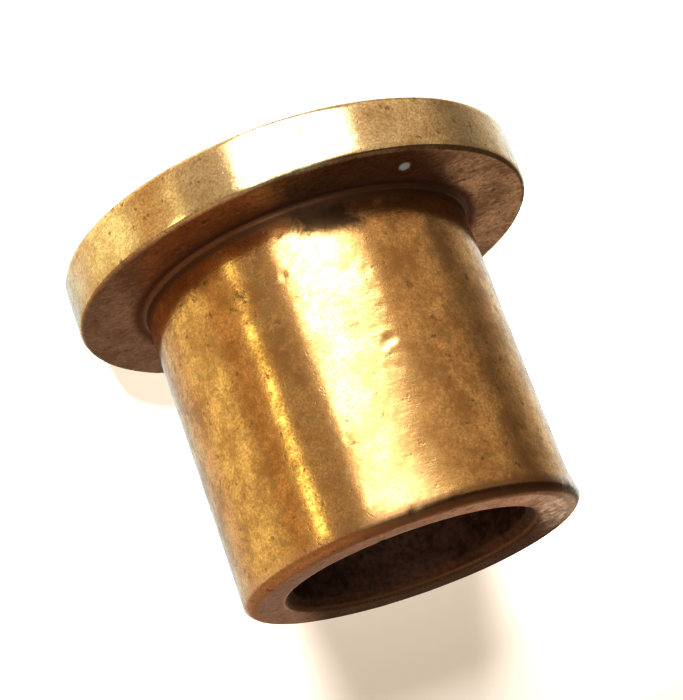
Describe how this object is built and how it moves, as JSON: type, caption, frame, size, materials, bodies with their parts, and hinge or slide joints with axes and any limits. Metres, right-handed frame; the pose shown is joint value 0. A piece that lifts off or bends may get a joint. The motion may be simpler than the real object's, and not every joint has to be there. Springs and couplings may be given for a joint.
{
  "type": "flanged sleeve bushing",
  "caption": "One-piece turned bronze plain bushing: a sleeve with a round thrust flange at one end and a straight running bore.",
  "frame": {"origin": "centre of the flange's outer (thrust) face, on the bore axis", "axes": "+Z along the bore axis, from the flange towards the plain end of the sleeve; X and Y are free, because the part is round"},
  "size_m": [0.028, 0.028, 0.0225],
  "materials": {
    "bearing_bronze": "turned, worn and lightly tarnished"
  },
  "bodies": {
    "root": {"bushing_body": "bearing_bronze"}
  },
  "joints": []
}
